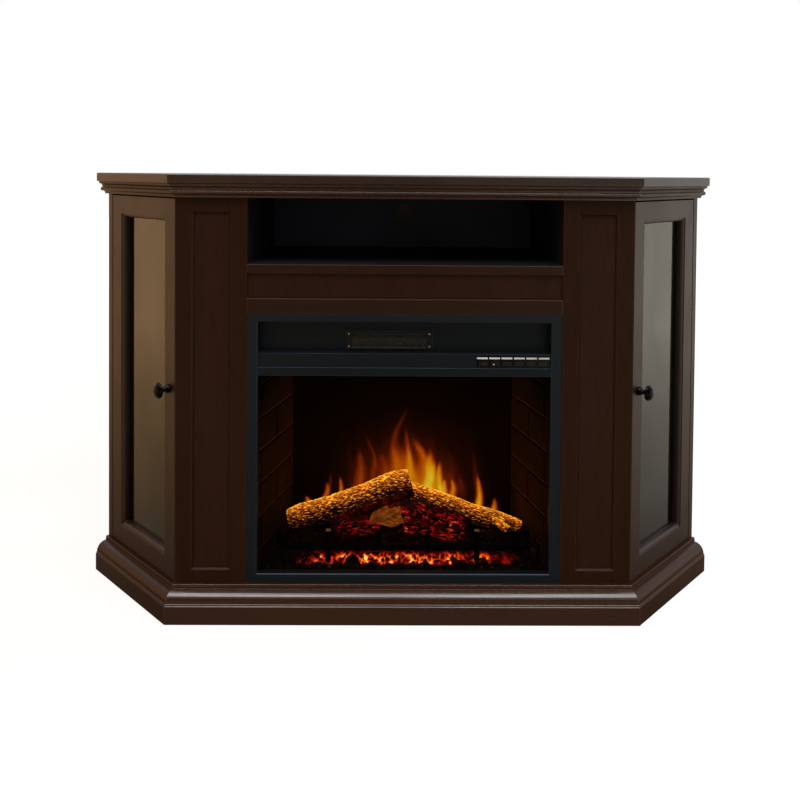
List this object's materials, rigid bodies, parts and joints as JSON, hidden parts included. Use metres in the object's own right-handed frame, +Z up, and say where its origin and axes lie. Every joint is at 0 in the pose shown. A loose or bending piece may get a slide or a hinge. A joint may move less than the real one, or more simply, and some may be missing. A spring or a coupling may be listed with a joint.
{
  "type": "corner media console with electric fireplace insert",
  "caption": "Corner media console with canted glass side doors, an open niche with a cable hole, and an electric fire insert with logs, grate and control buttons.",
  "frame": {"origin": "middle of the footprint's bounding box, on the floor", "axes": "+X to the right when facing the fire, -Y out of the front towards the viewer, +Z up"},
  "size_m": [1.2668, 0.38, 0.82],
  "materials": {
    "stained_wood": "satin espresso stain",
    "carcass_board": "satin espresso stain",
    "dark_board": "matte black brown",
    "hinge_steel": "nickel plated",
    "black_sheet": "charcoal powder coat",
    "knob_metal": "dark gunmetal, polished",
    "door_glass": "clear tempered",
    "window_glass": "lightly tinted tempered",
    "black_plastic": "matte",
    "button_plastic": "satin",
    "panel_plastic": "satin",
    "brick_relief": "matte brick relief",
    "flame_screen": "smoked diffuser",
    "ember_resin": "translucent ember casting",
    "log_resin": "painted bark",
    "charred_resin": "charred bark with glowing cracks",
    "bright_sheet": "mill finish",
    "board_laminate": "green laminate",
    "led_strip": "white strip"
  },
  "bodies": {
    "cabinet": {"top_panel": "stained_wood", "sub_top": "carcass_board", "crown_front": "stained_wood", "crown_sides": "stained_wood", "plinth_front": "stained_wood", "plinth_sides": "stained_wood", "base_panel": "carcass_board", "base_rails": "carcass_board", "floor_glides": "black_plastic", "left_pilaster": "stained_wood", "right_pilaster": "stained_wood", "inset_panels": "stained_wood", "header_frame": "stained_wood", "media_shelf": "dark_board", "dividers": "carcass_board", "left_side_panel": "stained_wood", "right_side_panel": "stained_wood", "side_back_panels": "dark_board", "centre_back_panel": "dark_board", "back_stretchers": "carcass_board", "side_shelves": "carcass_board", "shelf_pins": "hinge_steel", "hinge_arms": "hinge_steel", "door_catches": "black_plastic", "insert_trim": "black_sheet", "control_bar": "black_sheet", "control_panel": "panel_plastic", "vent_panel": "black_sheet", "outlet_grille": "black_sheet", "window_glass": "window_glass", "insert_case": "black_sheet", "insert_back_cover": "black_sheet", "brick_panels": "brick_relief", "flame_screen": "flame_screen", "ember_bed": "ember_resin", "grate": "black_sheet", "left_log": "log_resin", "right_log": "log_resin", "charred_logs": "charred_resin", "blower_housing": "bright_sheet", "heating_element": "bright_sheet", "motors_and_brackets": "bright_sheet", "circuit_board": "board_laminate", "led_strips": "led_strip"},
    "left_door": {"left_door_frame": "stained_wood", "left_door_glass": "door_glass", "left_knob": "knob_metal", "left_hinge_cups": "hinge_steel"},
    "right_door": {"right_door_frame": "stained_wood", "right_door_glass": "door_glass", "right_knob": "knob_metal", "right_hinge_cups": "hinge_steel"},
    "button_1": {"button_1": "button_plastic"},
    "button_2": {"button_2": "button_plastic"},
    "button_3": {"button_3": "button_plastic"},
    "button_4": {"button_4": "button_plastic"},
    "button_5": {"button_5": "button_plastic"},
    "button_6": {"button_6": "button_plastic"},
    "fan_rotor": {"blower_wheel": "black_sheet"},
    "spinner": {"flame_spinner": "bright_sheet"}
  },
  "joints": [
    {"name": "left_door_hinge", "type": "hinge", "parent": "cabinet", "child": "left_door", "pos_m": [-0.58676, 0.01336, 0.42], "axis": [0, 0, -1], "range_deg": [0, 100]},
    {"name": "right_door_hinge", "type": "hinge", "parent": "cabinet", "child": "right_door", "pos_m": [0.58676, 0.01336, 0.42], "axis": [0, 0, 1], "range_deg": [0, 100]},
    {"name": "button_1_press", "type": "slide", "parent": "cabinet", "child": "button_1", "axis": [0, 1, 0], "range_m": [0, 0.001], "stiffness_N_per_m": 600, "springref_m": -0.0005},
    {"name": "button_2_press", "type": "slide", "parent": "cabinet", "child": "button_2", "axis": [0, 1, 0], "range_m": [0, 0.001], "stiffness_N_per_m": 600, "springref_m": -0.0005},
    {"name": "button_3_press", "type": "slide", "parent": "cabinet", "child": "button_3", "axis": [0, 1, 0], "range_m": [0, 0.001], "stiffness_N_per_m": 600, "springref_m": -0.0005},
    {"name": "button_4_press", "type": "slide", "parent": "cabinet", "child": "button_4", "axis": [0, 1, 0], "range_m": [0, 0.001], "stiffness_N_per_m": 600, "springref_m": -0.0005},
    {"name": "button_5_press", "type": "slide", "parent": "cabinet", "child": "button_5", "axis": [0, 1, 0], "range_m": [0, 0.001], "stiffness_N_per_m": 600, "springref_m": -0.0005},
    {"name": "button_6_press", "type": "slide", "parent": "cabinet", "child": "button_6", "axis": [0, 1, 0], "range_m": [0, 0.001], "stiffness_N_per_m": 600, "springref_m": -0.0005},
    {"name": "fan_spin", "type": "hinge", "parent": "cabinet", "child": "fan_rotor", "pos_m": [-0.029, -0.0695, 0.506], "axis": [1, 0, 0], "continuous": true},
    {"name": "spinner_spin", "type": "hinge", "parent": "cabinet", "child": "spinner", "pos_m": [0, 0.081, 0.1505], "axis": [1, 0, 0], "continuous": true}
  ]
}
